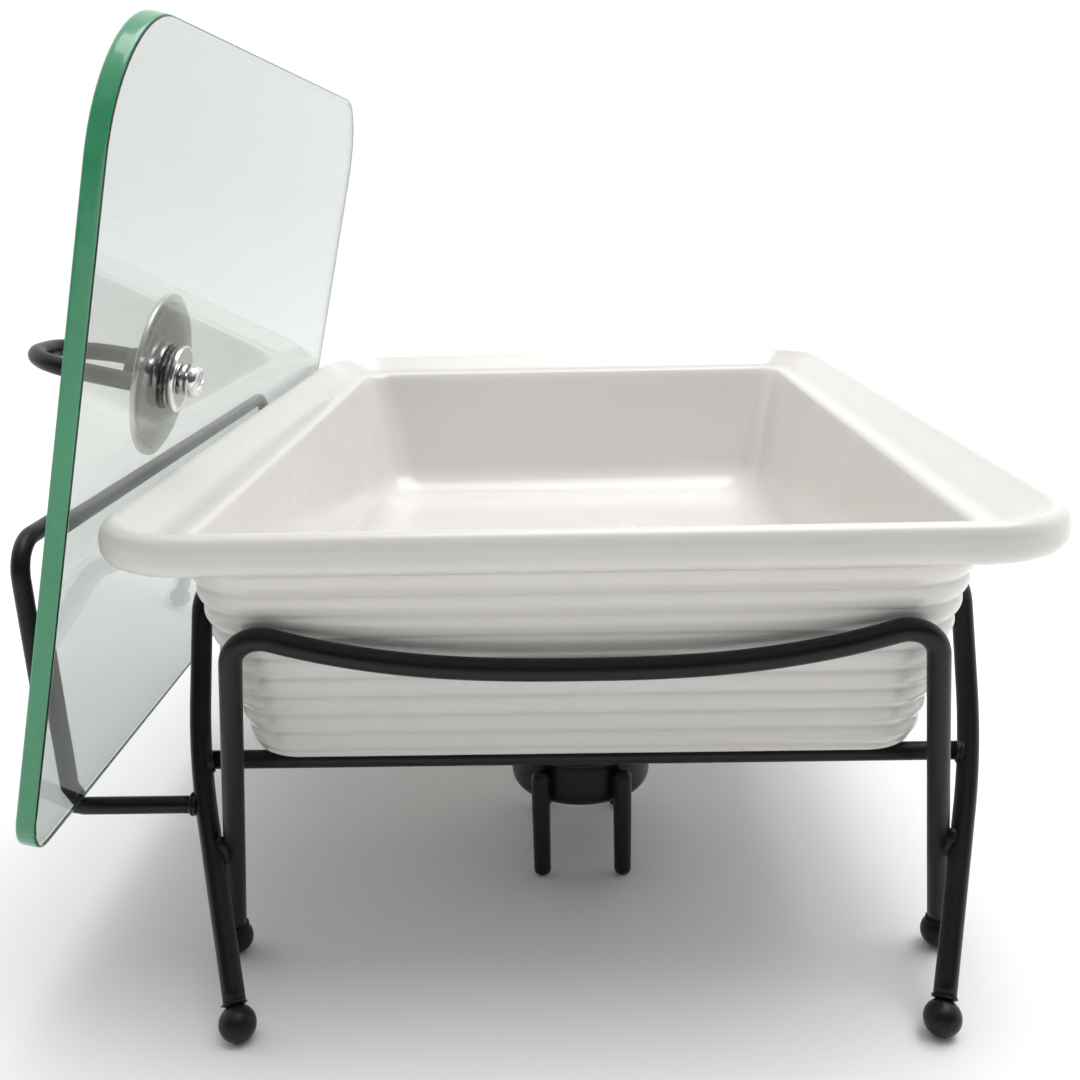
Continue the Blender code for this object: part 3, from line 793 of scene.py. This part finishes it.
outer_seal = ring_profile(SEAL_BORE, SEAL_RADIUS, FACE, FACE + SEAL, 0.0002)
disc = ring_profile(BORE, DISC_RADIUS, DISC_LOW, DISC_HIGH, 0.0004)
skin("outer_seal", lid_turned(outer_seal), gasket, "lid", ["outer_gasket"], loop=True)
skin("handle_plate", lid_turned(disc, 144), brushed, "lid", ["handle_disc"], loop=True)
boss = flowing([(BORE, BOSS_LOW + 0.0056), (BORE, BOSS_LOW), (0.0050, BOSS_LOW - 0.0001),
                (0.0060, BOSS_LOW + 0.0004), (0.0060, BOSS_LOW + 0.0068),
                (0.0055, BOSS_LOW + 0.0077), (0.0044, BOSS_LOW + 0.0080),
                (0.0008, BOSS_LOW + 0.0080)], 6)
skin("handle_nut", lid_turned(boss, 64), powder_coat, "lid", ["handle_boss"])
half_loop = LOOP_WIDTH / 2
grip = bent([(0, -half_loop, BOSS_LOW), (0, -half_loop, LOOP_REACH), (0, half_loop, LOOP_REACH),
             (0, half_loop, BOSS_LOW)], [LOOP_BEND] * 2, steps=24) + (HANDLE_U, HANDLE_V, 0.0)
rings = tube(on_lid(evenly(grip, 0.002)), THIN_WIRE / 2, 28, LID_UP)
skin("handle_grip", rings, powder_coat, "lid", ["handle_loop"])
collar = [(0.0026, 0.0014), (0.0030, 0.0008), (0.0037, 0.0002), (0.0038, 0.0), (0.0001, 0.0)]
for place, way in (("near", -1), ("far", 1)):
    at = on_lid((HANDLE_U, HANDLE_V + half_loop * way, BOSS_LOW - 0.0002))
    skin(f"grip_weld_{place}", turned(flowing(collar, 5), at, 40, LID_OUT, LID_UP),
         powder_coat, "lid")
inner_seal = ring_profile(SEAL_BORE, INNER_SEAL_RADIUS, -FACE - INNER_SEAL, -FACE, 0.0002)
washer = ring_profile(BORE, WASHER_RADIUS, WASHER_TOP - WASHER, WASHER_TOP, 0.0003)
skin("inner_seal", lid_turned(inner_seal), gasket, "lid", ["inner_gasket"], loop=True)
skin("flat_washer", lid_turned(washer), chrome, "lid", ["lid_washer"], loop=True)

# The spring washer is a square section carried 344 degrees round, its ends sprung 0.4 mm apart.
COIL_RADIUS, COIL_HALF, COIL_HALF_HEIGHT, COIL_SPRING = 0.00385, 0.00085, 0.00050, 0.0002
around = np.linspace(radians(8), radians(352), 96)[:, None]
section = np.array([(-1, -1), (-0.8, -1), (0.8, -1), (1, -0.8),
                    (1, 0.8), (0.8, 1), (-0.8, 1), (-1, 0.8)])
spread = COIL_RADIUS + COIL_HALF * section[:, 0]
lift = (SPRING_TOP - 0.00075 + COIL_HALF_HEIGHT * section[:, 1]
        + COIL_SPRING * (around / pi - 1))
coil = np.stack([HANDLE_U + spread * np.cos(around), HANDLE_V + spread * np.sin(around), lift], -1)
skin("split_washer", on_lid(coil), brushed, "lid", ["spring_washer"], angle=40)
screw = skin("cross_screw", pan_head(HEAD_TOP), chrome, "lid", ["lid_screw"], angle=50)


# ---- Burners -------------------------------------------------------------------------------
# A shallow pressed cup with a rolled lip stands on four short rods, two before it and two
# behind. Cup and rods are steel, welded and powder coated like the stand.

BURNER_Y = 0.064
CUP_RADIUS, CUP_BOTTOM, CUP_TOP, CUP_WALL = 0.0230, 0.0230, 0.0400, 0.0012
LEG_X, LEG_TOP, LEG_CLEAR = 0.0130, 0.0362, 0.0040
CUP_WELD, WELD_BELOW = (0.0050, 0.0020), 0.0060


def cup_profile():
    """From the middle of the cup's floor, up the inside, over the lip, down and under."""
    inner, low = CUP_RADIUS - CUP_WALL, CUP_BOTTOM + CUP_WALL
    inside = [(0.0010, low), (0.0120, low), (0.0192, low), (0.0210, 0.0249), (inner, 0.0270),
              (inner, 0.0330), (inner, 0.0385)]
    lip = [(CUP_RADIUS - 0.0004, CUP_TOP - 0.0002), (CUP_RADIUS + 0.0006, CUP_TOP),
           (CUP_RADIUS + 0.0014, CUP_TOP - 0.0006), (CUP_RADIUS + 0.0016, CUP_TOP - 0.0016),
           (CUP_RADIUS + 0.0012, CUP_TOP - 0.0026), (CUP_RADIUS + 0.0002, CUP_TOP - 0.0031)]
    outside = [(CUP_RADIUS, 0.0345), (CUP_RADIUS, 0.0275), (CUP_RADIUS - 0.0008, 0.0248),
               (0.0206, 0.0233), (0.0185, CUP_BOTTOM), (0.0100, CUP_BOTTOM), (0.0010, CUP_BOTTOM)]
    return flowing(inside + lip + outside, 5)


def leg_path(sx, sy):
    """A rod straight down beside the cup's wall, from just under its lip to the table."""
    beside = sy * ((CUP_RADIUS ** 2 - LEG_X ** 2) ** 0.5 + LEG_CLEAR)
    return evenly(np.array([(sx * LEG_X, beside, LEG_TOP), (sx * LEG_X, beside, 0.0)]), 0.0006)


def rounded_ends(path, radius, end=0.0018):
    """The radius along a rod: a tenth slimmer at the table, and a quarter ellipse over each end."""
    along = np.concatenate([[0], np.cumsum(np.linalg.norm(np.diff(path, axis=0), axis=1))])
    near = np.minimum(along, along[-1] - along)
    slim = 1 - 0.10 * along / along[-1]
    return radius * slim * np.sqrt(np.clip(1 - (1 - np.clip(near / end, 0, 1)) ** 2 * 0.8, 0.05, 1))


for place, way in (("front", -1), ("back", 1)):
    body = f"burner_{place}"
    middle = np.array([SHIFT, BURNER_Y * way, 0.0])
    skin(f"cup_{place}", turned(cup_profile(), middle, 96), powder_coat, body,
         [f"burner_cup_{place}"])
    for number, (sx, sy) in enumerate(((-1, -1), (1, -1), (-1, 1), (1, 1)), 1):
        path = leg_path(sx, sy)
        rings = tube(path + middle, rounded_ends(path, WIRE / 2), 24)
        skin(f"cup_leg_{place}_{number}", rings, powder_coat, body,
             [f"burner_leg_{place}_{number}"])
        inward = np.array([-sx * LEG_X, -path[0, 1], 0.0])
        joint = (path[0] + (0.0, BURNER_Y * way, -WELD_BELOW)
                 + inward / np.linalg.norm(inward) * (WIRE / 2 + 0.0002))
        bead(f"cup_weld_{place}_{number}", joint, (0, 0, 1), *CUP_WELD, number, body)


# ---- Tealights -----------------------------------------------------------------------------
# A 38 mm tealight in each cup: a thin fluted aluminium tin, cast paraffin wax with a shallow
# dip round a braided cotton wick.

LIGHT_RADIUS, TIN_HEIGHT, TIN_LOW = 0.0190, 0.0135, CUP_BOTTOM + 0.0015
FLUTES, FLUTE_DEPTH = 48, 0.004
ALUMINIUM = (0.80, 0.80, 0.81)
WAX_DULL, WAX_WHITE = (0.84, 0.82, 0.76), (0.90, 0.89, 0.85)
COTTON_DARK, COTTON_PALE = (0.52, 0.47, 0.38), (0.74, 0.70, 0.62)


def wax_finish():
    """Paraffin wax: milky, letting some light in, with a faintly mottled skin."""
    look = Finish("paraffin_wax", "tealight_wax", IOR=1.44, Subsurface_Weight=0.35,
                  Subsurface_Scale=0.004, Subsurface_Radius=(1.0, 0.8, 0.6))
    cloud = look.noise(look.place(), 160.0, detail=4.0)
    look.drive(Base_Color=look.blend(cloud, WAX_DULL, WAX_WHITE),
               Roughness=look.span(cloud, 0.3, 0.7, 0.34, 0.52))
    return look.bump(cloud, 0.00012, 0.35).material


def wick_finish():
    """Waxed cotton, its braid as slanting bands round and along it."""
    look = Finish("cotton_wick", "tealight_wick", Roughness=0.9)
    braid = look.node("ShaderNodeTexWave", {"bands_direction": "DIAGONAL"}, {
        "Vector": look.surface_uv((2.0, 900.0, 1.0)), "Scale": 1.0, "Distortion": 0.6})
    look.drive(Base_Color=look.blend(braid, COTTON_DARK, COTTON_PALE))
    return look.bump(braid, 0.00008, 0.8).material


tin_metal = brushed_finish("drawn_aluminium", "tealight_tin", ALUMINIUM, 0.20, 0.36, 1400.0)
wax_look, wick_look = wax_finish(), wick_finish()
for place, way in (("front", -1), ("back", 1)):
    body = f"burner_{place}"
    middle = np.array([SHIFT, BURNER_Y * way, 0.0])
    r, low, top = LIGHT_RADIUS, TIN_LOW, TIN_LOW + TIN_HEIGHT
    tin = flowing([(0.0010, low + 0.0005), (r - 0.0022, low + 0.0005), (r - 0.0008, low + 0.0010),
                   (r - 0.0005, low + 0.0040), (r - 0.0005, top - 0.0008),
                   (r - 0.0003, top - 0.0001), (r - 0.0001, top - 0.0001), (r, top - 0.0006),
                   (r - 0.0001, low + 0.0040), (r - 0.0003, low + 0.0008), (r - 0.0014, low),
                   (0.0010, low)], 6)
    rings = turned(tin, middle, 192)
    angle = np.linspace(0, 2 * pi, 192, endpoint=False)
    wall = (np.clip((tin[:, 0] - 0.0170) / 0.001, 0, 1)
            * np.clip((top - 0.001 - tin[:, 1]) / 0.002, 0, 1))
    flute = 1 - FLUTE_DEPTH * wall[:, None] * (0.5 + 0.5 * np.cos(FLUTES * angle))
    rings[..., :2] = middle[:2] + (rings[..., :2] - middle[:2]) * flute[..., None]
    skin(f"tin_{place}", rings, tin_metal, body, [f"tealight_tin_{place}"])
    wax_low = low + 0.0008
    wax = flowing([(0.0010, wax_low + 0.0098), (0.0030, wax_low + 0.0100),
                   (0.0090, wax_low + 0.0106), (0.0160, wax_low + 0.0108),
                   (r - 0.0014, wax_low + 0.0113),
                   (r - 0.0011, wax_low + 0.0108), (r - 0.0012, wax_low + 0.0060),
                   (r - 0.0016, wax_low + 0.0006), (r - 0.0030, wax_low), (0.0010, wax_low)], 6)
    skin(f"wax_{place}", turned(wax, middle, 72), wax_look, body, [f"tealight_wax_{place}"])
    stem = bent([(0, 0, wax_low + 0.002), (0, 0, wax_low + 0.0100), (0.0008, 0, wax_low + 0.0135),
                 (0.0024, 0, wax_low + 0.0157)], [0, 0.004], 8)
    skin(f"wick_{place}", tube(evenly(stem, 0.0004) + middle, 0.00058, 14, (0, 1, 0)),
         wick_look, body, [f"tealight_wick_{place}"])
